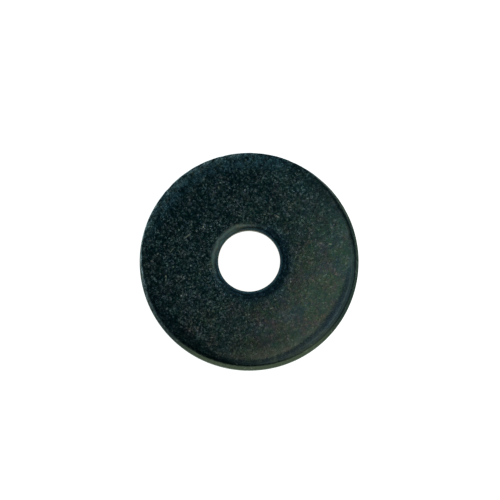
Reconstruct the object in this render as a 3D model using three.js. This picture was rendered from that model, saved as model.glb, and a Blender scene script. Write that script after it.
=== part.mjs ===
// A flat washer of the wide kind: one disc of steel, stamped with a round hole for the bolt.
//
// Millimetres, +Z up. The washer lies flat with its axis on +Z, and the origin is where that axis
// meets the face it rests on. The punches come down on the upper face, so the hole's edge is
// rounded above and torn below, and the rim is torn above and rounded below.

import * as THREE from "three";

// Driving dimensions: a washer 1 inch across for a 1/4 inch bolt.
const OUTER_DIAMETER = 25.4;
const HOLE_DIAMETER = 7.14;
const THICKNESS = 2.0;

// A rounded edge is a quarter of an ellipse: its width is how far it reaches across the face, and
// its depth how far it reaches down the wall.
const HOLE_ROUNDING_WIDTH = 1.1;
const HOLE_ROUNDING_DEPTH = 0.5;
const RIM_ROUNDING_WIDTH = 0.95;
const RIM_ROUNDING_DEPTH = 0.42;

// Where the metal tears, the wall slopes. The hole opens out towards the lower face, and the rim
// draws in towards the upper face.
const HOLE_TORN_DEPTH = 0.8;
const HOLE_TORN_FLARE = 0.12;
const RIM_TORN_DEPTH = 0.95;
const RIM_TORN_TAPER = 0.22;

// Cutting the disc out leaves its upper edge turned up a little, with the corner worn round.
const LIP_WIDTH = 0.75;
const LIP_HEIGHT = 0.06;
const LIP_CORNER_WIDTH = 0.5;
const LIP_CORNER_DEPTH = 0.28;

// How finely the round shapes are divided.
const SIDES_AROUND = 96;
const STEPS_PER_ROUNDING = 7;
const STEPS_PER_LIP = 4;
const STEPS_PER_CORNER = 5;

// Plated steel, nearly black with a green-blue cast.
const PLATING_COLOUR = 0x1d2b2c;
const PLATING_ROUGHNESS = 0.42;
const PLATING_METALNESS = 0.9;

const RIM_RADIUS = OUTER_DIAMETER / 2;
const HOLE_RADIUS = HOLE_DIAMETER / 2;
const FACE_HEIGHT = THICKNESS - LIP_HEIGHT;
const LIP_OUTER_RADIUS = RIM_RADIUS - RIM_TORN_TAPER;
const LIP_CREST_RADIUS = LIP_OUTER_RADIUS - LIP_CORNER_WIDTH;

// Points along a stretch of the section, at equal steps of its share from 0 to 1.
function pointsAlong(steps, pointAt) {
  return Array.from({ length: steps + 1 }, (_, step) => pointAt(step / steps));
}

// The rounded lower edge of the rim, from the level face up to the upright wall.
function rimRounding() {
  return pointsAlong(STEPS_PER_ROUNDING, (share) => {
    const turn = (share * Math.PI) / 2;
    const radius = RIM_RADIUS - RIM_ROUNDING_WIDTH * (1 - Math.sin(turn));
    return new THREE.Vector2(radius, RIM_ROUNDING_DEPTH * (1 - Math.cos(turn)));
  });
}

// The worn corner of the lip, from the torn wall up to the crest.
function lipCorner() {
  return pointsAlong(STEPS_PER_CORNER, (share) => {
    const turn = (share * Math.PI) / 2;
    const radius = LIP_CREST_RADIUS + LIP_CORNER_WIDTH * Math.cos(turn);
    return new THREE.Vector2(radius, THICKNESS - LIP_CORNER_DEPTH * (1 - Math.sin(turn)));
  });
}

// The inner slope of the lip, an easy curve from the crest down to the level face.
function lipSlope() {
  return pointsAlong(STEPS_PER_LIP, (share) => {
    const fall = (1 - Math.cos(share * Math.PI)) / 2;
    return new THREE.Vector2(LIP_CREST_RADIUS - LIP_WIDTH * share, THICKNESS - LIP_HEIGHT * fall);
  });
}

// The rounded upper edge of the hole, from the level face down to the upright wall.
function holeRounding() {
  return pointsAlong(STEPS_PER_ROUNDING, (share) => {
    const turn = (share * Math.PI) / 2;
    const radius = HOLE_RADIUS + HOLE_ROUNDING_WIDTH * (1 - Math.sin(turn));
    return new THREE.Vector2(radius, FACE_HEIGHT - HOLE_ROUNDING_DEPTH * (1 - Math.cos(turn)));
  });
}

// The closed outline of the washer's section: out along the lower face, up the rim, in across the
// upper face and down the hole.
function sectionOutline() {
  const lowerHoleEdge = new THREE.Vector2(HOLE_RADIUS + HOLE_TORN_FLARE, 0);
  const rimTearStart = new THREE.Vector2(RIM_RADIUS, THICKNESS - RIM_TORN_DEPTH);
  const holeTearStart = new THREE.Vector2(HOLE_RADIUS, HOLE_TORN_DEPTH);
  return [
    lowerHoleEdge,
    ...rimRounding(),
    rimTearStart,
    ...lipCorner(),
    ...lipSlope().slice(1),
    ...holeRounding(),
    holeTearStart,
    lowerHoleEdge.clone(),
  ];
}

function platedSteel() {
  return new THREE.MeshStandardMaterial({
    color: PLATING_COLOUR,
    roughness: PLATING_ROUGHNESS,
    metalness: PLATING_METALNESS,
  });
}

// The whole washer is the one section turned about its axis, then stood up from +Y to +Z.
function flatWasher() {
  const disc = new THREE.LatheGeometry(sectionOutline(), SIDES_AROUND);
  const washer = new THREE.Mesh(disc, platedSteel());
  washer.name = "flat_washer";
  washer.rotation.x = Math.PI / 2;
  return washer;
}

const part = new THREE.Group();
part.add(flatWasher());

export default part;
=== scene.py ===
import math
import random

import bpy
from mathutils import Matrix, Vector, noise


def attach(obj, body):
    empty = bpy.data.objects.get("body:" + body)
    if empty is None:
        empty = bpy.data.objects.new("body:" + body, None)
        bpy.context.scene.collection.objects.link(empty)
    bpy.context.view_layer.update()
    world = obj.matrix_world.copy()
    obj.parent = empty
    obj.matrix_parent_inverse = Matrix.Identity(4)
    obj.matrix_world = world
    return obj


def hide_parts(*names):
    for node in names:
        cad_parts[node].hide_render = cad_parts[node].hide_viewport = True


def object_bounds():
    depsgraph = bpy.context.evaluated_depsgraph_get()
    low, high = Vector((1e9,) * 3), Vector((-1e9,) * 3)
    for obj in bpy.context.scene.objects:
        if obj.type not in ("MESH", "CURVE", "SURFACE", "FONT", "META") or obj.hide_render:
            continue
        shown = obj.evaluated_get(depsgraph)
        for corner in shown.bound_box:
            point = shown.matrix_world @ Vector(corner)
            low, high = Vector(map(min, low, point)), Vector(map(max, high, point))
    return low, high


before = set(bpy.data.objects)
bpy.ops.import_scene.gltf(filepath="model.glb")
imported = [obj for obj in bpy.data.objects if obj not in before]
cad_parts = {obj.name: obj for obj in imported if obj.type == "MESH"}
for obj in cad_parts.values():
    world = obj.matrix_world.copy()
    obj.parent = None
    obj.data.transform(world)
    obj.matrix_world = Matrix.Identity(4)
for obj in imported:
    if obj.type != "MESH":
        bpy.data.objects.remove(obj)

# A plated flat washer, stamped from sheet steel. It lies on a pale floor and is seen from nearly
# straight above. Metres, in the frame of the CAD model: +Z is the washer's axis and z = 0 its
# lower face. Angles are turned from +X towards +Y.

MM = 0.001
UP = Vector((0, 0, 1))
CAD_NODE = "flat_washer"
CAD_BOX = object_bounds()

# ------------------------------------------------------------------ the washer's section

TOP = CAD_BOX[1].z
RIM_RADIUS = CAD_BOX[1].x
HOLE_RADIUS = min(v.co.xy.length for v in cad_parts[CAD_NODE].data.vertices)

HOLE_ROUNDING_WIDTH = 1.1 * MM
HOLE_ROUNDING_CREASED_WIDTH = 0.96 * MM
HOLE_ROUNDING_SOFT_WIDTH = 1.32 * MM
HOLE_CREASE_TURN = math.radians(14)
HOLE_CREASED_SIDE = math.radians(136)
HOLE_CREASE_SHARPNESS = 1.6
HOLE_ROUNDING_DEPTH = 0.5 * MM
RIM_ROUNDING_WIDTH = 0.95 * MM
RIM_ROUNDING_DEPTH = 0.42 * MM
HOLE_TORN_DEPTH = 0.8 * MM
HOLE_TORN_FLARE = 0.12 * MM
RIM_TORN_DEPTH = 0.95 * MM
RIM_TORN_TAPER = 0.22 * MM
# The power by which a torn wall's lean grows along it.
TORN_CURVE = 1.2
LIP_WIDTH = 0.75 * MM
LIP_HEIGHT = 0.06 * MM
LIP_CORNER_WIDTH = 0.5 * MM
LIP_CORNER_DEPTH = 0.28 * MM

FACE_HEIGHT = TOP - LIP_HEIGHT
LIP_CREST_RADIUS = RIM_RADIUS - RIM_TORN_TAPER - LIP_CORNER_WIDTH
FACE_OUTER_RADIUS = LIP_CREST_RADIUS - LIP_WIDTH
FACE_INNER_RADIUS = HOLE_RADIUS + HOLE_ROUNDING_WIDTH
LOWER_OUTER_RADIUS = RIM_RADIUS - RIM_ROUNDING_WIDTH
LOWER_INNER_RADIUS = HOLE_RADIUS + HOLE_TORN_FLARE
LOWER_LIFT = 0.02 * MM

# How uneven stamping, tumbling and use have left it.
FACE_CROWN = 0.04 * MM
# A side of the washer ends where the cosine of the angle from its middle is this.
SIDE_END_COSINE = 0.4
RIM_UPRIGHT_SIDE = math.radians(115)
RIM_UPRIGHT_SHARPNESS = 1.5
RIM_UPRIGHT_LEAN = 0.15
LIP_TURNED_UP_AXIS = math.radians(135)
LIP_TURNED_UP_MEAN = 0.65
LIP_TURNED_UP_SWING = 0.62
LIP_STEEPEST = 0.08
LIP_GENTLEST = 0.045
LIP_ROUNDED_SLOPE = -0.055
LIP_NARROWEST = 0.4 * MM
# Where the lip is broader: the angle round the rim, how far round it reaches, how much broader.
LIP_BROADER = [
    (math.radians(-35), math.radians(32), 0.6 * MM),
    (math.radians(52), math.radians(18), 1.1 * MM),
    (math.radians(135), math.radians(40), 0.7 * MM),
    (math.radians(225), math.radians(22), 1.15 * MM),
]
SHEAR_STREAK = 0.005 * MM
STREAK_LENGTHENING = 20
TORN_GRIT = 0.025 * MM
# The share of a torn wall over which its pits set in.
GRIT_ONSET = 0.25

# Layers of noise. Each is the size of its features, its own seed and how strong it is.
FACE_WAVE = [(5.0 * MM, 2, 0.006 * MM)]
UNEVEN_LIP = [(4 * MM, 4, 0.25)]
UNEVEN_CREASE = [(2 * MM, 5, 0.2)]
RIM_TEAR_LINE = [(2.2 * MM, 6, 0.2 * MM), (0.5 * MM, 7, 0.1 * MM)]
HOLE_TEAR_LINE = [(1.6 * MM, 8, 0.14 * MM), (0.4 * MM, 9, 0.07 * MM)]
HOLE_BURR = [(0.9 * MM, 12, 1.0)]
GRIT = [(0.2 * MM, 14, 1.0), (0.08 * MM, 15, 0.6)]
STREAKS = [(0.13 * MM, 16, 1.0)]

NICKS = 16
NICK_SEED = 11
NICK_WIDTHS = (0.2 * MM, 0.6 * MM)
NICK_DEPTHS = (0.01 * MM, 0.04 * MM)
# The deepest knocks in the rim: angle, half width and depth.
DEEP_NICKS = [
    (math.radians(194), 0.3 * MM, 0.14 * MM),
    (math.radians(191), 0.2 * MM, 0.09 * MM),
    (math.radians(150), 0.5 * MM, 0.09 * MM),
    (math.radians(138), 0.35 * MM, 0.08 * MM),
]
# How many half widths a knock reaches, the share of its depth by which it lowers the edge, and the
# power by which it grows up the wall.
NICK_REACH = 3
NICK_DROP = 0.5
NICK_CURVE = 3

SIDES_AROUND = 640
RINGS = {
    "lower": 20,
    "rim_rounding": 12,
    "rim_sheared": 6,
    "rim_torn": 14,
    "lip_corner": 10,
    "lip_slope": 12,
    "face": 46,
    "hole_rounding": 14,
    "hole_sheared": 5,
    "hole_torn": 9,
}


def mix(first, second, share):
    return first + (second - first) * share


def ease(share):
    """0 to 1 with level ends, held outside that range."""
    share = min(max(share, 0.0), 1.0)
    return share * share * (3 - 2 * share)


def on_circle(radius, angle):
    return Vector((radius * math.cos(angle), radius * math.sin(angle), 0))


def ripple(place, layers):
    """Smooth noise about 0, added up from its layers."""
    return sum(strength * noise.noise(place / size + UP * seed) for size, seed, strength in layers)


def side_of_washer(angle, middle, sharpness, uneven=0.0):
    """1 on one side of the washer and 0 on the other."""
    return ease(0.5 + sharpness * (math.cos(angle - middle) - SIDE_END_COSINE) + uneven)


def make_nicks():
    """Small knocks in the upper rim edge, as (angle, half width, depth)."""
    draw = random.Random(NICK_SEED)
    scattered = [
        (draw.uniform(0, 2 * math.pi), draw.uniform(*NICK_WIDTHS), draw.uniform(*NICK_DEPTHS))
        for _ in range(NICKS)
    ]
    return scattered + DEEP_NICKS


RIM_NICKS = make_nicks()


def nick_depth(angle):
    """How far the knocks have pushed the rim's upper edge in at this angle."""
    depth = 0.0
    for nick_angle, half_width, deepest in RIM_NICKS:
        apart = abs(math.remainder(angle - nick_angle, 2 * math.pi)) * RIM_RADIUS
        if apart < NICK_REACH * half_width:
            depth = max(depth, deepest * math.exp(-((apart / half_width) ** 2)))
    return depth


def turned_up(angle):
    """1 on the two sides where the rim stands up as a lip, 0 between, where it is rounded over."""
    swing = LIP_TURNED_UP_SWING * math.cos(2 * (angle - LIP_TURNED_UP_AXIS))
    return ease(LIP_TURNED_UP_MEAN + swing + ripple(on_circle(RIM_RADIUS, angle), UNEVEN_LIP))


def face_height(radius, angle):
    """The upper face, a little crowned, with a long shallow wave in it."""
    outward = (radius - FACE_INNER_RADIUS) / (FACE_OUTER_RADIUS - FACE_INNER_RADIUS)
    return FACE_HEIGHT - FACE_CROWN * outward ** 2 - ripple(on_circle(radius, angle), FACE_WAVE)


def lean(angle):
    """How far the torn wall leans in: fully, except on one side, where it is nearly upright."""
    return mix(1, RIM_UPRIGHT_LEAN, side_of_washer(angle, RIM_UPRIGHT_SIDE, RIM_UPRIGHT_SHARPNESS))


def crest_radius(angle):
    inset = (RIM_TORN_TAPER + LIP_CORNER_WIDTH) * lean(angle)
    return RIM_RADIUS - SHEAR_STREAK - inset - nick_depth(angle)


def lip_width(angle):
    width = LIP_NARROWEST
    for middle, reach, broader in LIP_BROADER:
        apart = math.remainder(angle - middle, 2 * math.pi)
        width += broader * math.exp(-((apart / reach) ** 2))
    return width


def lip_foot_radius(angle):
    return crest_radius(angle) - lip_width(angle)


def crest_height(angle):
    """The rim's upper edge: a lip on two sides, rounded down between, lower at each nick."""
    steep = 0.5 + 0.5 * math.cos(angle - LIP_TURNED_UP_AXIS)
    slope = mix(LIP_ROUNDED_SLOPE, mix(LIP_GENTLEST, LIP_STEEPEST, steep), turned_up(angle))
    foot = face_height(lip_foot_radius(angle), angle)
    return foot + slope * lip_width(angle) - NICK_DROP * nick_depth(angle)


def rim_tear_height(angle):
    return TOP - RIM_TORN_DEPTH + ripple(on_circle(RIM_RADIUS, angle), RIM_TEAR_LINE)


def hole_tear_height(angle):
    return HOLE_TORN_DEPTH + ripple(on_circle(HOLE_RADIUS, angle), HOLE_TEAR_LINE)


def hole_burr_height(angle):
    """The hole's lower edge, whose burr reaches the floor only here and there."""
    ragged = 0.5 + ripple(on_circle(HOLE_RADIUS, angle), HOLE_BURR)
    return LOWER_LIFT * (1 - min(max(ragged, 0.0), 1.0))


def grit(place, share_torn):
    """How deep the torn metal is pitted here."""
    return TORN_GRIT * (1 + ripple(place, GRIT)) * ease(share_torn / GRIT_ONSET)


def streak(place):
    """Shallow upright scoring left by the cutting edge."""
    flattened = Vector((place.x, place.y, place.z / STREAK_LENGTHENING))
    return SHEAR_STREAK * (1 + ripple(flattened, STREAKS))


# Each zone below gives the radius and height of a point, from its angle round the axis and its
# share of the way through the zone. The zones follow the section round: outward underneath, up
# the rim, inward over the face and down the hole.

def lower_point(share, angle):
    radius = mix(LOWER_INNER_RADIUS, LOWER_OUTER_RADIUS, share)
    if share == 0:
        return radius, hole_burr_height(angle)
    return radius, LOWER_LIFT


def rim_rounding_point(share, angle):
    turn = share * math.pi / 2
    wall = RIM_RADIUS - streak(on_circle(RIM_RADIUS, angle)) * share
    radius = wall - RIM_ROUNDING_WIDTH * (1 - math.sin(turn))
    return radius, mix(LOWER_LIFT, RIM_ROUNDING_DEPTH, 1 - math.cos(turn))


def rim_sheared_point(share, angle):
    height = mix(RIM_ROUNDING_DEPTH, rim_tear_height(angle), share)
    return RIM_RADIUS - streak(on_circle(RIM_RADIUS, angle) + UP * height), height


def rim_torn_point(share, angle):
    height = mix(rim_tear_height(angle), crest_height(angle) - LIP_CORNER_DEPTH, share)
    pit = grit(on_circle(RIM_RADIUS, angle) + UP * height, share)
    taper = RIM_TORN_TAPER * lean(angle) * share ** TORN_CURVE
    nick = nick_depth(angle) * share ** NICK_CURVE
    return RIM_RADIUS - SHEAR_STREAK - taper - pit - nick, height


def lip_corner_point(share, angle):
    turn = share * math.pi / 2
    height = crest_height(angle) - LIP_CORNER_DEPTH * (1 - math.sin(turn))
    pit = grit(on_circle(RIM_RADIUS, angle) + UP * height, 1) * math.cos(turn)
    return crest_radius(angle) + LIP_CORNER_WIDTH * lean(angle) * math.cos(turn) - pit, height


def lip_slope_point(share, angle):
    foot = lip_foot_radius(angle)
    radius = mix(crest_radius(angle), foot, share)
    return radius, mix(crest_height(angle), face_height(foot, angle), ease(share))


def face_point(share, angle):
    inner = HOLE_RADIUS + SHEAR_STREAK + hole_rounding_width(angle)
    radius = mix(lip_foot_radius(angle), inner, share)
    return radius, face_height(radius, angle)


def creased(angle):
    """1 where the punch left a crisp start to the hole's rounding, 0 where it starts softly."""
    uneven = ripple(on_circle(HOLE_RADIUS, angle), UNEVEN_CREASE)
    return side_of_washer(angle, HOLE_CREASED_SIDE, HOLE_CREASE_SHARPNESS, uneven)


def hole_rounding_width(angle):
    return mix(HOLE_ROUNDING_SOFT_WIDTH, HOLE_ROUNDING_CREASED_WIDTH, creased(angle))


def hole_rounding_point(share, angle):
    first_turn = HOLE_CREASE_TURN * creased(angle)
    turn = mix(first_turn, math.pi / 2, share)
    inward = (1 - math.sin(turn)) / (1 - math.sin(first_turn))
    downward = 1 - math.cos(turn) / math.cos(first_turn)
    wall = HOLE_RADIUS + SHEAR_STREAK
    start = wall + hole_rounding_width(angle)
    return mix(wall, start, inward), face_height(start, angle) - HOLE_ROUNDING_DEPTH * downward


def hole_sheared_point(share, angle):
    start = hole_rounding_point(1, angle)[1]
    height = mix(start, hole_tear_height(angle), share)
    return HOLE_RADIUS + streak(on_circle(HOLE_RADIUS, angle) + UP * height), height


def hole_torn_point(share, angle):
    height = mix(hole_tear_height(angle), hole_burr_height(angle), share)
    pit = grit(on_circle(HOLE_RADIUS, angle) + UP * height, share) * ease((1 - share) / GRIT_ONSET)
    return HOLE_RADIUS + SHEAR_STREAK + HOLE_TORN_FLARE * share ** TORN_CURVE + pit, height


ZONES = {
    "lower": lower_point,
    "rim_rounding": rim_rounding_point,
    "rim_sheared": rim_sheared_point,
    "rim_torn": rim_torn_point,
    "lip_corner": lip_corner_point,
    "lip_slope": lip_slope_point,
    "face": face_point,
    "hole_rounding": hole_rounding_point,
    "hole_sheared": hole_sheared_point,
    "hole_torn": hole_torn_point,
}


def everywhere(share):
    """A finish that covers the whole of its zone."""
    return 1.0


def rising(start, end):
    """A finish that sets in between two shares of its zone."""
    return lambda share: ease((share - start) / (end - start))


def falling(start, end):
    """A finish that gives out between two shares of its zone."""
    return lambda share: 1 - ease((share - start) / (end - start))


def between(start, full, fading, end):
    """A finish that sets in between the first two shares and gives out between the last two."""
    return lambda share: rising(start, full)(share) * falling(fading, end)(share)


# The lip's first ring of points inside its crest, as a share of the slope.
LIP_FIRST_RING = 1 / RINGS["lip_slope"]

# Where each finish lies: bare torn metal, metal scored by the cutting edge, the corners where shade is
# painted, the hole's straw-coloured throat, a pale line along the lip's crest, and the lip itself.
FINISHES = {
    "torn": {"rim_torn": everywhere, "lip_corner": falling(0.5, 0.75), "hole_torn": everywhere},
    "sheared": {"rim_sheared": everywhere, "hole_sheared": everywhere},
    # Painted shade in the lip's corner, along its crest and down the hole's rounding.
    "painted_edge_shade": {
        "lip_corner": everywhere,
        "lip_slope": falling(0, LIP_FIRST_RING),
        "hole_rounding": rising(0.36, 0.76),
    },
    "throat": {"hole_rounding": rising(0.6, 1), "hole_sheared": everywhere, "hole_torn": everywhere},
    "pale_crest": {"lip_slope": between(0, LIP_FIRST_RING, 0.1, 0.243)},
    "lip": {"lip_corner": everywhere, "lip_slope": falling(4 / 9, 1)},
}


def paint(mesh, name, stations, amounts):
    """Stores how much of a finish each point has, for the material to read."""
    values = []
    for zone, share in stations:
        amount = amounts[zone](share) if zone in amounts else 0.0
        values += [amount] * SIDES_AROUND
    mesh.attributes.new(name, "FLOAT", "POINT").data.foreach_set("value", values)


def ring_faces(rings):
    """Quads between each ring of points and the next, and from the last back to the first."""
    faces = []
    for ring in range(rings):
        here = ring * SIDES_AROUND
        ahead = (ring + 1) % rings * SIDES_AROUND
        for side in range(SIDES_AROUND):
            beside = (side + 1) % SIDES_AROUND
            faces.append((here + side, here + beside, ahead + beside, ahead + side))
    return faces


def stamped_disc():
    """The whole washer: its section carried round the axis, with every zone's own wear."""
    stations = [(zone, step / count) for zone, count in RINGS.items() for step in range(count)]
    points = []
    for zone, share in stations:
        for side in range(SIDES_AROUND):
            angle = 2 * math.pi * side / SIDES_AROUND
            radius, height = ZONES[zone](share, angle)
            points.append(on_circle(radius, angle) + UP * height)
    mesh = bpy.data.meshes.new("plated_washer")
    mesh.from_pydata(points, [], ring_faces(len(stations)))
    mesh.update()
    mesh.shade_smooth()
    for name, amounts in FINISHES.items():
        paint(mesh, name, stations, amounts)
    disc = bpy.data.objects.new("plated_washer", mesh)
    bpy.context.scene.collection.objects.link(disc)
    return disc


# ------------------------------------------------------------------ material helpers

# A Mix node repeats its socket names for numbers, vectors and colours. These are its colours.
MIX_UNDER = 6
MIX_OVER = 7
MIX_RESULT = 2
# How far out towards its outline a stroke keeps its full strength.
STROKE_CORE = 0.5


class Nodes:
    """A material's node tree, with short calls for the nodes this scene uses."""

    def __init__(self, name):
        self.material = bpy.data.materials.new(name)
        self.material.use_nodes = True
        self.tree = self.material.node_tree
        self.surface = self.tree.nodes["Principled BSDF"]
        self.place = self.tree.nodes.new("ShaderNodeTexCoord").outputs["Object"]

    def feed(self, socket, value):
        """Links a socket, or sets a plain number or a colour of three numbers."""
        if isinstance(value, bpy.types.NodeSocket):
            self.tree.links.new(value, socket)
        elif isinstance(value, tuple) and len(value) < len(socket.default_value):
            socket.default_value = (*value, 1)
        else:
            socket.default_value = value

    def maths(self, operation, first, second):
        node = self.tree.nodes.new("ShaderNodeMath")
        node.operation = operation
        self.feed(node.inputs[0], first)
        self.feed(node.inputs[1], second)
        return node.outputs["Value"]

    def vector_maths(self, operation, first, second=(0, 0, 0), output="Vector"):
        node = self.tree.nodes.new("ShaderNodeVectorMath")
        node.operation = operation
        self.feed(node.inputs[0], first)
        self.feed(node.inputs[1], second)
        return node.outputs[output]

    def product(self, *values):
        result = values[0]
        for value in values[1:]:
            result = self.maths("MULTIPLY", result, value)
        return result

    def left_by(self, share):
        """What a share from 0 to 1 leaves over."""
        return self.maths("SUBTRACT", 1.0, share)

    def spread(self, value, low, high, to_low=0.0, to_high=1.0):
        """The value carried smoothly from low..high to to_low..to_high."""
        ranged = self.tree.nodes.new("ShaderNodeMapRange")
        ranged.interpolation_type = "SMOOTHSTEP"
        numbers = {"From Min": low, "From Max": high, "To Min": to_low, "To Max": to_high}
        for name, number in numbers.items():
            ranged.inputs[name].default_value = number
        self.feed(ranged.inputs["Value"], value)
        return ranged.outputs["Result"]

    def turned_place(self, angle, centre=(0, 0, 0)):
        """Coordinates turned by an angle about an upright line through the centre."""
        spin = self.tree.nodes.new("ShaderNodeVectorRotate")
        spin.rotation_type = "Z_AXIS"
        self.feed(spin.inputs["Vector"], self.place)
        spin.inputs["Center"].default_value = centre
        spin.inputs["Angle"].default_value = angle
        return spin.outputs["Vector"]

    def scaled_place(self, sizes, turn=0.0):
        """Coordinates that count features of the given sizes, turned about the washer's axis."""
        return self.vector_maths("MULTIPLY", self.turned_place(turn), tuple(1 / size for size in sizes))

    def toward(self, degrees):
        """How far a point lies from the washer's axis in a direction, in metres."""
        direction = on_circle(1, math.radians(degrees))
        return self.vector_maths("DOT_PRODUCT", self.place, direction, "Value")

    def radius(self):
        """How far a point lies from the washer's axis."""
        flat = self.vector_maths("MULTIPLY", self.place, (1, 1, 0))
        return self.vector_maths("LENGTH", flat, output="Value")

    def cloud(self, size, detail=2.0, roughness=0.5, turn=0.0):
        """Noise from 0 to 1. size is the features' size, or three sizes for a stretched noise."""
        sizes = size if isinstance(size, tuple) else (size, size, size)
        texture = self.tree.nodes.new("ShaderNodeTexNoise")
        texture.inputs["Scale"].default_value = 1
        texture.inputs["Detail"].default_value = detail
        texture.inputs["Roughness"].default_value = roughness
        self.feed(texture.inputs["Vector"], self.scaled_place(sizes, turn))
        return texture.outputs["Fac"]

    def crystals(self, size):
        """A random colour for each small cell, each of its three numbers from 0 to 1."""
        texture = self.tree.nodes.new("ShaderNodeTexVoronoi")
        texture.inputs["Scale"].default_value = 1
        self.feed(texture.inputs["Vector"], self.scaled_place((size, size, size)))
        return texture.outputs["Color"]

    def channel(self, colour, name):
        apart = self.tree.nodes.new("ShaderNodeSeparateColor")
        self.feed(apart.inputs["Color"], colour)
        return apart.outputs[name]

    def sparks(self, size, channel, rarity):
        """Close to 1 at a few random crystals and to 0 at the rest. A higher rarity leaves fewer."""
        return self.maths("POWER", self.channel(self.crystals(size), channel), rarity)

    def tilted(self, normal, directions, tilt):
        """The normal leaned towards random directions (0 to 1 for each axis) by a slope."""
        centred = self.vector_maths("SUBTRACT", directions, (0.5, 0.5, 0.5))
        leaned = self.vector_maths("ADD", normal, self.tone(tilt, centred))
        return self.vector_maths("NORMALIZE", leaned)

    def painted(self, name):
        """How much of a finish the mesh carries here."""
        attribute = self.tree.nodes.new("ShaderNodeAttribute")
        attribute.attribute_name = name
        return attribute.outputs["Fac"]

    def stroke(self, centre, degrees, length, width):
        """1 inside a thin ellipse drawn on the faces, falling softly to 0 round it."""
        turned = self.turned_place(-math.radians(degrees), centre)
        apart = self.vector_maths("SUBTRACT", turned, centre)
        half_lengths = self.vector_maths("MULTIPLY", apart, (2 / length, 2 / width, 0))
        far = self.vector_maths("LENGTH", half_lengths, output="Value")
        return self.spread(far, STROKE_CORE, 1.0, 1.0, 0.0)

    def layer(self, share, under, over, mode="MIX"):
        """One colour laid over another, by a share from 0 to 1."""
        node = self.tree.nodes.new("ShaderNodeMix")
        node.data_type = "RGBA"
        node.blend_type = mode
        self.feed(node.inputs["Factor"], share)
        self.feed(node.inputs[MIX_UNDER], under)
        self.feed(node.inputs[MIX_OVER], over)
        return node.outputs[MIX_RESULT]

    def times(self, colour, factors, share=1.0):
        """The colour times a tint or shade, by a share from 0 to 1."""
        return self.layer(share, colour, factors, "MULTIPLY")

    def tone(self, brightness, colour):
        """The colour times a brightness."""
        node = self.tree.nodes.new("ShaderNodeVectorMath")
        node.operation = "SCALE"
        self.feed(node.inputs[0], colour)
        self.feed(node.inputs["Scale"], brightness)
        return node.outputs["Vector"]


# ------------------------------------------------------------------ the plating

# The looks below are set by named tuples:
#   a cloud is the size of its features, then its detail, roughness and turn;
#   levels, a ring or tones are a range, then the values it is carried to where they aren't 0 and 1;
#   a side is its direction in degrees, then a range in shares of the rim's radius, then such values;
#   a colour is red, green and blue, and a tint or shade is a factor for each of them.

BRIGHT_DIRECTION = -32.7
BACK_DIRECTION = 135


def on_side(nodes, degrees, start, full, *values):
    """Carries a range along one direction to 0..1, or to other values."""
    return nodes.spread(nodes.toward(degrees), start * RIM_RADIUS, full * RIM_RADIUS, *values)


def in_ring(nodes, *ring):
    """Carries a range of radius to 0..1, or to other values."""
    return nodes.spread(nodes.radius(), *ring)


def patches(nodes, cloud, levels):
    """Carries a range of a cloud's noise to 0..1, or to other values."""
    return nodes.spread(nodes.cloud(*cloud), *levels)


# How strong the grain is.
GRAINY_FROM_HOLE = (3.8 * MM, 5.0 * MM, 0.36, 0.9)
GRAINY_OFF_LIP = (0.0, 1.0, 1.0, 0.65)
CREASED_SIDE = (BACK_DIRECTION, 0.1, 0.25)
CREASE_RING = (4.2 * MM, 4.8 * MM, 0.8, 0.0)
BURNISHED_SIDE = (BRIGHT_DIRECTION, -0.3, 0.6)
COLOUR_GRAIN_WHERE_BURNISHED = 0.36
RELIEF_GRAIN_WHERE_BURNISHED = 0.1


def graininess(nodes, where_burnished):
    """Nearly full on the open face; less where it is burnished, on the hole's crease and on the lip."""
    creased = nodes.product(on_side(nodes, *CREASED_SIDE), in_ring(nodes, *CREASE_RING))
    return nodes.product(
        in_ring(nodes, *GRAINY_FROM_HOLE),
        nodes.left_by(creased),
        nodes.spread(nodes.painted("lip"), *GRAINY_OFF_LIP),
        on_side(nodes, *BURNISHED_SIDE, 1.0, where_burnished),
    )


# The plating's colour, made lighter as painted light on the side the key light falls on.
TEAL = (0.062, 0.116, 0.122)
GREEN = (0.086, 0.132, 0.115)
# The drift to lighter green and lighter patches runs towards this side: partly the plating's own colour,
# partly painted light.
LIT_GREEN_DIRECTION = -50.3
DRIFT_CLOUD = (4 * MM, 3)
DRIFT_TO_GREEN = (0.3, 0.95)
DRIFT_TO_PATCHES = (0.35, 0.85, 0.25, 0.75)
COLOURED_PATCHES = (
    ((0.114, 0.120, 0.102), 2.0 * MM),
    ((0.064, 0.120, 0.145), 2.4 * MM),
    ((0.108, 0.112, 0.128), 1.6 * MM),
    ((0.070, 0.142, 0.112), 1.3 * MM),
)
# The detail and roughness of each patch's cloud.
PATCH_RAGGEDNESS = (3, 0.5)
PATCH_LEVELS = (0.44, 0.68)
BLUED = (0.060, 0.128, 0.160)
BLUED_RING = (4.2 * MM, 5.6 * MM, 1.0, 0.0)
BLUED_OFF_BACK = (BACK_DIRECTION, 0.05, 0.25, 1.0, 0.0)
# Two tints that a crystal lies between, for each of two sizes of crystal.
CRYSTAL_TINTS = (
    (0.20 * MM, "Blue", (1.15, 1.04, 0.90), (0.95, 1.01, 1.11)),
    (0.24 * MM, "Green", (0.93, 1.06, 0.94), (1.07, 0.94, 1.06)),
)


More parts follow.
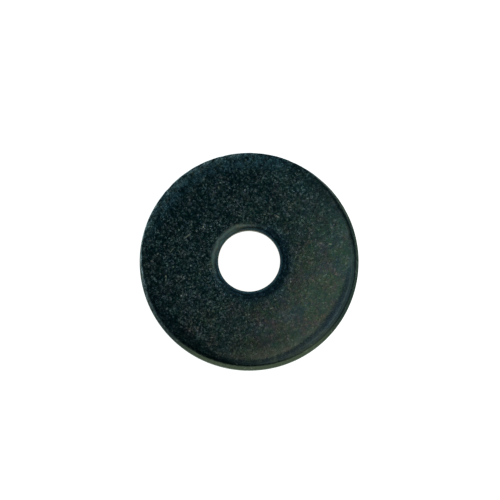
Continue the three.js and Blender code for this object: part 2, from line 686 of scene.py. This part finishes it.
def plating_colour(nodes):
    """Teal that drifts to a lighter green in coloured patches on the side the key light falls on, partly
    the plating's own colour and partly painted light, and is bluer near the hole.
    """
    side = nodes.maths("DIVIDE", nodes.toward(LIT_GREEN_DIRECTION), RIM_RADIUS * 2)
    drift = nodes.maths("ADD", side, nodes.cloud(*DRIFT_CLOUD))
    colour = nodes.layer(nodes.spread(drift, *DRIFT_TO_GREEN), TEAL, GREEN)
    patched = nodes.spread(drift, *DRIFT_TO_PATCHES)
    for turn, (patch_colour, size) in enumerate(COLOURED_PATCHES):
        patch = patches(nodes, (size, *PATCH_RAGGEDNESS, turn), PATCH_LEVELS)
        colour = nodes.layer(nodes.product(patch, patched), colour, patch_colour)
    blued = nodes.product(in_ring(nodes, *BLUED_RING), on_side(nodes, *BLUED_OFF_BACK))
    colour = nodes.layer(blued, colour, BLUED)
    for size, channel, first_tint, second_tint in CRYSTAL_TINTS:
        tint = nodes.layer(nodes.channel(nodes.crystals(size), channel), first_tint, second_tint)
        colour = nodes.times(colour, tint)
    return colour


# The brightness of the grain.
SPARK_SIZE = 0.16 * MM
SPARK_RARITY = 7.0
SPARK_BRIGHTNESS = 2.4
FINE_GRAIN = (0.32 * MM, 4, 0.6)
SMOOTH_GRAIN = (0.42 * MM, 1.5, 0.5, 2.2)
SMOOTH_SIDE = (BRIGHT_DIRECTION, 0.0, 0.6)
GRAIN_TONES = (0.3, 0.72, 0.36, 1.12)
MOTTLING = (1.1 * MM, 3, 0.6, 0.7)
MOTTLING_TONES = (0.3, 0.7, 0.7, 1.25)
BLOTCHES = (0.7 * MM, 3, 0.6, 1.3)
BLOTCH_TONES = (0.35, 0.65, -1.0, 1.0)
BLOTCHED_RING = (4.2 * MM, 5.0 * MM, 0.35, 0.0)
# The grain's tone is darker towards the back.
DARKER_BACK = (BACK_DIRECTION, 0.2, 0.8, 1.0, 0.84)
# How strongly the grain changes red, green and blue, so that it is nearly grey on the teal.
GRAIN_STRENGTHS = {"Red": 1.6, "Green": 0.96, "Blue": 0.84}


def fleck_tone(nodes):
    """Brightness of the plating's grain: scattered bright crystals on softer mottling."""
    sparks = nodes.product(nodes.sparks(SPARK_SIZE, "Red", SPARK_RARITY), SPARK_BRIGHTNESS)
    blend = nodes.layer(
        on_side(nodes, *SMOOTH_SIDE), nodes.cloud(*FINE_GRAIN), nodes.cloud(*SMOOTH_GRAIN)
    )
    grain = nodes.spread(nodes.channel(blend, "Red"), *GRAIN_TONES)
    blotches = nodes.product(in_ring(nodes, *BLOTCHED_RING), patches(nodes, BLOTCHES, BLOTCH_TONES))
    return nodes.product(
        patches(nodes, MOTTLING, MOTTLING_TONES),
        nodes.maths("ADD", 1.0, blotches),
        on_side(nodes, *DARKER_BACK),
        nodes.maths("ADD", grain, sparks),
    )


def grain_tint(nodes, tone):
    """The grain's brightness as factors for red, green and blue, none below 0."""
    joined = nodes.tree.nodes.new("ShaderNodeCombineColor")
    for name, strength in GRAIN_STRENGTHS.items():
        change = nodes.product(nodes.maths("SUBTRACT", tone, 1.0), strength)
        nodes.feed(joined.inputs[name], nodes.maths("MAXIMUM", nodes.maths("ADD", change, 1.0), 0.0))
    return joined.outputs["Color"]


# A painted sheen on the open face's bright side and painted shade on its lower left, and the marks of the
# punch.
PAINTED_SHEEN_FROM = (4.4 * MM, 5.4 * MM)
PAINTED_SHEEN_TO = (8.2 * MM, 9.8 * MM, 1.0, 0.0)
PAINTED_SHEEN_SIDE = (-42, -0.05, 0.4, 0.0, 0.17)
PAINTED_SHADE_SIDE = (-120, 0.2, 0.6, 0.0, 0.12)
PUNCH_PITCH = 0.5 * MM
PUNCH_WANDER = (1.4 * MM, 3)
PUNCH_WANDER_RADIANS = 11.0
PUNCH_RING = (4.4 * MM, 4.9 * MM, 0.3, 0.0)


def sheen_and_shade_tone(nodes):
    """Painted light: a painted sheen in the middle of the bright side, and painted shade on the lower
    left.
    """
    painted_sheen = nodes.product(
        in_ring(nodes, *PAINTED_SHEEN_FROM), in_ring(nodes, *PAINTED_SHEEN_TO), on_side(nodes, *PAINTED_SHEEN_SIDE)
    )
    return nodes.maths("SUBTRACT", nodes.maths("ADD", 1.0, painted_sheen), on_side(nodes, *PAINTED_SHADE_SIDE))


def punch_tone(nodes):
    """Brightness of uneven rings that the punch left round the hole."""
    wander = nodes.product(nodes.cloud(*PUNCH_WANDER), PUNCH_WANDER_RADIANS)
    count = nodes.product(nodes.radius(), 2 * math.pi / PUNCH_PITCH)
    rings = nodes.maths("SINE", nodes.maths("ADD", count, wander), 0.0)
    return nodes.maths("ADD", 1.0, nodes.product(rings, in_ring(nodes, *PUNCH_RING)))


# Patches near the rim, each on its own side: slate and brown in the plating's colour, a painted bluish
# sheen, a painted sage highlight and a painted teal sheen.
SLATE = (0.100, 0.170, 0.220)
SLATE_SIDE = (-45, 0.5, 0.95)
SLATE_CLOUD = (0.9 * MM, 3, 0.6)
SLATE_LEVELS = (0.32, 0.55, 0.65, 1.0)
# A bluish sheen, painted in patches round the back of the rim.
RIM_BLUE = (0.100, 0.230, 0.275)
RIM_BLUE_SIDE = (117, 0.45, 0.85, 0.0, 0.8)
RIM_BLUE_RING = (10.3 * MM, 11.3 * MM)
RIM_BLUE_CLOUD = (0.6 * MM, 3, 0.6)
RIM_BLUE_LEVELS = (0.36, 0.58)
BROWN = (0.225, 0.215, 0.185)
BROWN_SIDE = (-84, 0.78, 0.9, 0.0, 0.55)
BROWN_FROM = (9.6 * MM, 10.8 * MM)
BROWN_TO = (11.2 * MM, 11.9 * MM, 1.0, 0.2)
BROWN_CLOUD = (0.8 * MM, 3, 0.6, 0.4)
BROWN_LEVELS = (0.3, 0.52)
# A pale sage highlight, painted in patches near the rim on the lower right.
SAGE = (0.190, 0.245, 0.215)
SAGE_SIDE = (-66, 0.76, 0.9, 0.0, 0.6)
SAGE_RING = (10.0 * MM, 10.9 * MM)
SAGE_CLOUD = (1.0 * MM, 3, 0.6, 1.1)
SAGE_LEVELS = (0.35, 0.6)
TEAL_SHEEN = (1.0, 1.14, 1.18)
TEAL_SHEEN_SIDE = (38, 0.45, 0.8)


def rim_colours(nodes, colour):
    """Slate and brown patches on the colour, a bluish sheen and a sage highlight painted in patches, and
    a painted teal sheen on one side.
    """
    slate = nodes.product(
        nodes.painted("lip"), on_side(nodes, *SLATE_SIDE), patches(nodes, SLATE_CLOUD, SLATE_LEVELS)
    )
    colour = nodes.layer(slate, colour, SLATE)
    blue = nodes.product(
        in_ring(nodes, *RIM_BLUE_RING),
        patches(nodes, RIM_BLUE_CLOUD, RIM_BLUE_LEVELS),
        on_side(nodes, *RIM_BLUE_SIDE),
    )
    colour = nodes.layer(blue, colour, RIM_BLUE)
    brown = nodes.product(
        patches(nodes, BROWN_CLOUD, BROWN_LEVELS),
        in_ring(nodes, *BROWN_FROM),
        in_ring(nodes, *BROWN_TO),
        on_side(nodes, *BROWN_SIDE),
    )
    colour = nodes.layer(brown, colour, BROWN)
    sage = nodes.product(
        patches(nodes, SAGE_CLOUD, SAGE_LEVELS), in_ring(nodes, *SAGE_RING), on_side(nodes, *SAGE_SIDE)
    )
    colour = nodes.layer(sage, colour, SAGE)
    return nodes.times(colour, TEAL_SHEEN, on_side(nodes, *TEAL_SHEEN_SIDE))


# Shade along the edges.
ROUNDED_SHADE = (0.40, 0.55, 0.62)
ROUNDED_SIDE = (-122, 0.58, 0.9)
HALF_ROUNDED_SIDE = (45, 0.45, 0.85, 0.0, 0.42)
DARK_EDGE_SHADE = (0.39, 0.43, 0.42)
PALE_EDGED_BACK = (BACK_DIRECTION, 0.2, 0.7)
DARKEST_EDGE_SHADE = (0.35, 0.42, 0.48)
DARKEST_EDGE_SIDE = (-105, 0.84, 0.94)


def edge_shades(nodes, colour):
    """Shade where the rim is rounded over, and along both edges everywhere but at the back."""
    turned_down = nodes.maths(
        "MAXIMUM", on_side(nodes, *ROUNDED_SIDE), on_side(nodes, *HALF_ROUNDED_SIDE)
    )
    rounded = nodes.product(nodes.painted("lip"), turned_down)
    colour = nodes.times(colour, ROUNDED_SHADE, rounded)
    edges = nodes.painted("painted_edge_shade")
    off_back = nodes.left_by(on_side(nodes, *PALE_EDGED_BACK))
    colour = nodes.times(colour, DARK_EDGE_SHADE, nodes.product(edges, off_back, nodes.left_by(rounded)))
    return nodes.times(
        colour, DARKEST_EDGE_SHADE, nodes.product(edges, on_side(nodes, *DARKEST_EDGE_SIDE))
    )


# The walls of the rim and the hole.
DARK_WALL = (0.013, 0.022, 0.023)
PALE_WALL = (0.050, 0.064, 0.043)
PALE_WALL_SIDE = (-84, 0.58, 0.87)
LILAC_WALL = (0.060, 0.088, 0.100)
LILAC_WALL_SIDE = (BACK_DIRECTION, -0.1, 0.6)
LILAC_STREAKS = ((0.25 * MM, 0.25 * MM, 2 * MM), 3)
LILAC_LEVELS = (0.4, 0.65)
SHEARED_WALL = (0.090, 0.120, 0.108)
SHEARED_COVER = 0.9
SCORING = ((0.12 * MM, 0.12 * MM, 3 * MM), 3, 0.6)
SCORING_TONES = (0.35, 0.65, 0.55, 1.3)
STRAW_THROAT = (0.95, 0.55, 0.34)
# A paler line just inside the lip's crest, on the right.
PALE_CREST_COLOUR = (0.12, 0.17, 0.18)
PALE_CREST_SIDE = (0, 0.6, 1.0, 0.0, 0.8)


def torn_colour(nodes):
    """The torn wall: pale at the front, dark elsewhere, with lilac streaks at the back."""
    wall = nodes.layer(on_side(nodes, *PALE_WALL_SIDE), DARK_WALL, PALE_WALL)
    streaks = nodes.product(on_side(nodes, *LILAC_WALL_SIDE), patches(nodes, LILAC_STREAKS, LILAC_LEVELS))
    return nodes.layer(streaks, wall, LILAC_WALL)


def wall_colours(nodes, colour):
    """Torn metal, scored metal, the straw colour in the hole, and a pale line along the lip's crest on
    one side.
    """
    colour = nodes.layer(nodes.painted("torn"), colour, torn_colour(nodes))
    scored = nodes.tone(patches(nodes, SCORING, SCORING_TONES), SHEARED_WALL)
    colour = nodes.layer(nodes.product(nodes.painted("sheared"), SHEARED_COVER), colour, scored)
    colour = nodes.times(colour, STRAW_THROAT, nodes.painted("throat"))
    pale_crest = nodes.product(nodes.painted("pale_crest"), on_side(nodes, *PALE_CREST_SIDE))
    return nodes.layer(pale_crest, colour, PALE_CREST_COLOUR)


# Scratches, and painted highlights on the rim.
SCRATCHED = (0.38, 0.43, 0.33)
# The longest scratches, in millimetres: x, y, direction in degrees, length and width.
SCRATCHES = [
    (-7.2, 2.8, 38, 1.3, 0.2),
    (-8.9, 1.2, 52, 1.0, 0.15),
    (-8.1, 1.0, 120, 0.6, 0.14),
    (-9.6, -2.2, 84, 1.1, 0.13),
    (9.4, 1.9, 3, 0.5, 0.18),
    (4.8, -2.5, 80, 0.28, 0.2),
    (-5.3, 3.9, 60, 0.35, 0.18),
    (2.6, -5.6, 20, 0.6, 0.18),
]
HAIRLINE_SIZE = (0.9 * MM, 0.07 * MM, 1 * MM)
# The detail and roughness of the hairlines' clouds.
HAIRLINE_RAGGEDNESS = (1, 0.5)
HAIRLINE_TURNS = (0.25, 1.0, 1.7, 2.6)
HAIRLINE_LEVELS = (0.72, 0.84, 0.0, 0.5)
SCRATCHED_FROM_HOLE = (4.3 * MM, 5.1 * MM)
# Pale bluish flecks, painted as highlights along the back of the rim.
GLINT_COLOUR = (0.34, 0.52, 0.54)
GLINT_CLOUD = ((0.8 * MM, 0.22 * MM, 0.8 * MM), 4, 0.7, -math.pi / 4)
GLINT_LEVELS = (0.53, 0.67, 0.0, 0.9)
MORE_GLINTS_OUTWARD = (11.9 * MM, 12.6 * MM, -0.06, 0.08)
GLINT_SIDE = (BACK_DIRECTION, 0.45, 0.85)


def scratches(nodes):
    """1 along the single scratches, and less along short hairlines that run several ways."""
    marks = 0.0
    for turn in HAIRLINE_TURNS:
        lines = patches(nodes, (HAIRLINE_SIZE, *HAIRLINE_RAGGEDNESS, turn), HAIRLINE_LEVELS)
        marks = nodes.maths("MAXIMUM", marks, lines)
    for x, y, degrees, length, width in SCRATCHES:
        place = (x * MM, y * MM, TOP)
        marks = nodes.maths("MAXIMUM", marks, nodes.stroke(place, degrees, length * MM, width * MM))
    return nodes.product(marks, in_ring(nodes, *SCRATCHED_FROM_HOLE))


def rim_glints(nodes):
    """Painted highlights: pale bluish ragged flecks along the back of the rim."""
    ragged = nodes.maths("ADD", nodes.cloud(*GLINT_CLOUD), in_ring(nodes, *MORE_GLINTS_OUTWARD))
    knocked = nodes.spread(ragged, *GLINT_LEVELS)
    return nodes.product(nodes.painted("lip"), knocked, on_side(nodes, *GLINT_SIDE))


# The shine and the relief.
DUST_SIZE = 0.14 * MM
DUST_RARITY = 7.0
LOST_SHINE = 0.45
REFLECTION_TINT = (0.5, 0.55, 0.5)
ROUGHNESS_CLOUD = (0.3 * MM, 4, 0.65)
ROUGHNESS_LEVELS = (0.3, 0.7, 0.2, 0.3)
GRAIN_RELIEF = 0.012 * MM
FLAKE_SIZE = 0.13 * MM
TILT_SIZE = 0.15 * MM
TILT_RARITY = 4.0
GREATEST_TILT = 0.84
LEAST_TILT = 0.08


def set_shine(nodes, grain, marks):
    """Shiny metal, less so in specks of dust, along the scratches and under the painted highlights."""
    dust = nodes.product(nodes.sparks(DUST_SIZE, "Red", DUST_RARITY), grain)
    pale = nodes.maths("MAXIMUM", dust, marks)
    nodes.feed(nodes.surface.inputs["Metallic"], nodes.left_by(nodes.product(pale, LOST_SHINE)))
    nodes.feed(nodes.surface.inputs["Specular Tint"], REFLECTION_TINT)
    nodes.feed(nodes.surface.inputs["Roughness"], patches(nodes, ROUGHNESS_CLOUD, ROUGHNESS_LEVELS))


def set_relief(nodes, grain, tone):
    """Bumps under the grain, and flakes that lie at random tilts, a few of them steep."""
    bump = nodes.tree.nodes.new("ShaderNodeBump")
    bump.inputs["Distance"].default_value = GRAIN_RELIEF
    nodes.feed(bump.inputs["Height"], tone)
    steep = nodes.product(nodes.sparks(TILT_SIZE, "Green", TILT_RARITY), GREATEST_TILT)
    tilt = nodes.product(nodes.maths("ADD", steep, LEAST_TILT), grain)
    flakes = nodes.crystals(FLAKE_SIZE)
    nodes.feed(nodes.surface.inputs["Normal"], nodes.tilted(bump.outputs["Normal"], flakes, tilt))


def plating():
    """The washer's one material, built up from the plating's grain to its last scratches."""
    nodes = Nodes("dark_zinc_plating")
    colour_grain = graininess(nodes, COLOUR_GRAIN_WHERE_BURNISHED)
    relief_grain = graininess(nodes, RELIEF_GRAIN_WHERE_BURNISHED)
    change = nodes.product(nodes.maths("SUBTRACT", fleck_tone(nodes), 1.0), colour_grain)
    tone = nodes.maths("ADD", change, 1.0)
    colour = nodes.times(plating_colour(nodes), grain_tint(nodes, tone))
    colour = rim_colours(nodes, colour)
    # The punch's rings, and the painted sheen and painted shade on the open face, scale the colour.
    colour = nodes.tone(nodes.product(punch_tone(nodes), sheen_and_shade_tone(nodes)), colour)
    colour = edge_shades(nodes, colour)
    colour = wall_colours(nodes, colour)
    # Painted highlights on the back of the rim, then the scratches.
    glinted = rim_glints(nodes)
    scratched = scratches(nodes)
    colour = nodes.layer(glinted, colour, GLINT_COLOUR)
    colour = nodes.layer(scratched, colour, SCRATCHED)
    nodes.feed(nodes.surface.inputs["Base Color"], colour)
    set_shine(nodes, relief_grain, nodes.maths("MAXIMUM", glinted, scratched))
    set_relief(nodes, relief_grain, tone)
    return nodes.material


# ------------------------------------------------------------------ floor, light and camera

FLOOR_HALF_WIDTH = 3.0
FLOOR_PALE = (0.85, 0.85, 0.85)
FLOOR_ROUGHNESS = 0.8
FLOOR_SPECULAR = 0.2
GLOW_COLOUR = (1.0, 1.0, 1.0)
FLOOR_GLOW = 1.0


def pale_floor():
    """A plain light table: pale, matt and glowing, so that hardly any shadow shows on it."""
    half = FLOOR_HALF_WIDTH
    corners = [(-half, -half, 0), (half, -half, 0), (half, half, 0), (-half, half, 0)]
    mesh = bpy.data.meshes.new("pale_floor")
    mesh.from_pydata(corners, [], [(0, 1, 2, 3)])
    floor = bpy.data.objects.new("pale_floor", mesh)
    bpy.context.scene.collection.objects.link(floor)
    nodes = Nodes("pale_floor")
    nodes.feed(nodes.surface.inputs["Base Color"], FLOOR_PALE)
    nodes.feed(nodes.surface.inputs["Roughness"], FLOOR_ROUGHNESS)
    nodes.feed(nodes.surface.inputs["Specular IOR Level"], FLOOR_SPECULAR)
    nodes.feed(nodes.surface.inputs["Emission Color"], GLOW_COLOUR)
    nodes.feed(nodes.surface.inputs["Emission Strength"], FLOOR_GLOW)
    mesh.materials.append(nodes.material)


HORIZON_LIGHT = (1.05, 1.3, 1.5)
WALL_LIGHT = (0.34, 0.42, 0.44)
OVERHEAD_LIGHT = (0.020, 0.046, 0.056)
HORIZON_SINES = (0.08, 0.32)
CEILING_SINES = (0.45, 0.65)


def blend_upward(tree, height, sines, lower, upper):
    """One colour giving way to another between two sines of the angle above the floor."""
    rise = tree.nodes.new("ShaderNodeMapRange")
    rise.interpolation_type = "SMOOTHSTEP"
    rise.inputs["From Min"].default_value = sines[0]
    rise.inputs["From Max"].default_value = sines[1]
    tree.links.new(height, rise.inputs["Value"])
    shade = tree.nodes.new("ShaderNodeMix")
    shade.data_type = "RGBA"
    tree.links.new(rise.outputs["Result"], shade.inputs["Factor"])
    tree.links.new(lower, shade.inputs[MIX_UNDER])
    tree.links.new(upper, shade.inputs[MIX_OVER])
    return shade.outputs[MIX_RESULT]


def plain_colour(tree, colour):
    node = tree.nodes.new("ShaderNodeRGB")
    node.outputs[0].default_value = (*colour, 1)
    return node.outputs[0]


def studio_walls():
    """Cool white all round low down, grey walls above, and a dim ceiling."""
    world = bpy.data.worlds.new("studio_walls")
    bpy.context.scene.world = world
    world.use_nodes = True
    tree = world.node_tree
    parts = tree.nodes.new("ShaderNodeSeparateXYZ")
    tree.links.new(tree.nodes.new("ShaderNodeTexCoord").outputs["Generated"], parts.inputs["Vector"])
    horizon, wall, overhead = [
        plain_colour(tree, colour) for colour in (HORIZON_LIGHT, WALL_LIGHT, OVERHEAD_LIGHT)
    ]
    low = blend_upward(tree, parts.outputs["Z"], HORIZON_SINES, horizon, wall)
    shade = blend_upward(tree, parts.outputs["Z"], CEILING_SINES, low, overhead)
    tree.links.new(shade, tree.nodes["Background"].inputs["Color"])


KEY_AZIMUTH = math.radians(-27)
KEY_FROM_ZENITH = math.radians(31)
KEY_DISTANCE = 0.06
KEY_SIZE = 0.06
KEY_COLOUR = (1.0, 0.92, 0.78)
KEY_WATTS_PER_SQUARE_METRE = 1.86


def key_light():
    """A square soft box turned to the washer."""
    outward = on_circle(math.sin(KEY_FROM_ZENITH), KEY_AZIMUTH) + UP * math.cos(KEY_FROM_ZENITH)
    light = bpy.data.lights.new("key_light", "AREA")
    light.shape = "SQUARE"
    light.size = KEY_SIZE
    light.energy = KEY_WATTS_PER_SQUARE_METRE * KEY_SIZE ** 2
    light.color = KEY_COLOUR
    lamp = bpy.data.objects.new("key_light", light)
    lamp.location = outward * KEY_DISTANCE
    lamp.rotation_mode = "QUATERNION"
    lamp.rotation_quaternion = (-outward).to_track_quat("-Z", "Y")
    bpy.context.scene.collection.objects.link(lamp)


def studio():
    studio_walls()
    key_light()
    bpy.context.scene.view_settings.view_transform = "Standard"


VIEW_ELEVATION = math.radians(81.5)
VIEW_DISTANCE = 0.45
VIEW_WIDTH = 57.95 * MM
VIEW_AIM = Vector((0.10 * MM, 1.34 * MM, TOP / 2))
VIEW_NEAREST = 0.01
VIEW_FARTHEST = 20


def overhead_camera():
    data = bpy.data.cameras.new("overhead_camera")
    data.lens = data.sensor_width * VIEW_DISTANCE / VIEW_WIDTH
    data.clip_start = VIEW_NEAREST
    data.clip_end = VIEW_FARTHEST
    data.dof.use_dof = False
    camera = bpy.data.objects.new("overhead_camera", data)
    back = Vector((0, -math.cos(VIEW_ELEVATION), math.sin(VIEW_ELEVATION)))
    camera.location = VIEW_AIM + back * VIEW_DISTANCE
    camera.rotation_mode = "QUATERNION"
    camera.rotation_quaternion = (-back).to_track_quat("-Z", "Y")
    bpy.context.scene.collection.objects.link(camera)
    bpy.context.scene.camera = camera


# ------------------------------------------------------------------ the scene

overhead_camera()
washer = stamped_disc()
washer.data.materials.append(plating())
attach(washer, "root")
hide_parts(CAD_NODE)
pale_floor()
studio()
